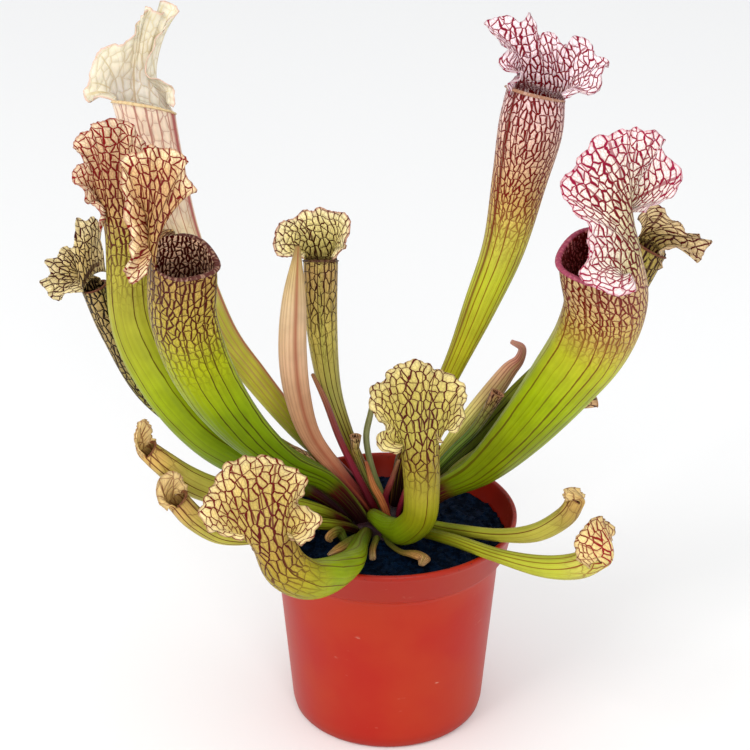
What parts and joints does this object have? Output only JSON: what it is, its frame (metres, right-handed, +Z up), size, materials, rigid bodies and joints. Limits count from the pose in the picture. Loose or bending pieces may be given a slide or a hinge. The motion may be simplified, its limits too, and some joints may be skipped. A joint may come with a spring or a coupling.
{
  "type": "potted pitcher plant",
  "caption": "Potted pitcher plant with net-veined trumpet leaves and waved hoods in a round red-orange nursery pot",
  "frame": {"origin": "centre of the flat underside of the pot, on the pot's own axis", "axes": "+Z up through the pot and the plant, +X to the right and +Y away from the viewer as the picture shows the plant"},
  "size_m": [0.309, 0.1782, 0.3248],
  "materials": {
    "pot": "semi-gloss moulded",
    "peat": "matte, crumbly, stands in for damp peat",
    "rootstock": "smooth, stands in for a fleshy rootstock",
    "green_leaf": "waxy, stands in for leaf",
    "olive_leaf": "waxy, stands in for leaf",
    "yellow_leaf": "waxy, stands in for leaf",
    "pale_leaf": "waxy, stands in for leaf",
    "rose_leaf": "waxy, stands in for leaf",
    "salmon_leaf": "waxy, stands in for leaf",
    "red_leaf": "waxy, stands in for leaf",
    "bronze_leaf": "waxy, stands in for leaf",
    "dry_leaf": "dry and papery"
  },
  "bodies": {
    "root": {"pot": "pot", "peat_filling": "peat", "rootstock": "rootstock", "pitcher_left_front": "green_leaf", "pitcher_left_middle": "green_leaf", "pitcher_left_back": "olive_leaf", "pitcher_left_tall": "pale_leaf", "pitcher_centre": "olive_leaf", "pitcher_right_tall": "rose_leaf", "pitcher_right_front": "green_leaf", "pitcher_right_back": "olive_leaf", "pitcher_front": "yellow_leaf", "pitcher_front_left": "yellow_leaf", "pitcher_low_left": "yellow_leaf", "pitcher_low_left_under": "dry_leaf", "pitcher_low_right": "yellow_leaf", "pitcher_low_right_over_rim": "yellow_leaf", "leaf_centre_unopened": "salmon_leaf", "leaf_centre_red": "red_leaf", "leaf_right_curled": "yellow_leaf", "pitcher_right_small": "bronze_leaf", "pitcher_right_hidden": "bronze_leaf", "pitcher_left_hidden": "bronze_leaf", "pitcher_centre_small": "bronze_leaf", "leaf_centre_grey_green": "olive_leaf", "leaf_left_bronze": "bronze_leaf", "leaf_left_withered": "dry_leaf", "leaf_front_orange": "salmon_leaf", "leaf_front_red": "red_leaf", "leaf_front_red_short": "red_leaf", "leaf_front_drying": "dry_leaf", "leaf_front_stub": "dry_leaf"}
  },
  "joints": []
}
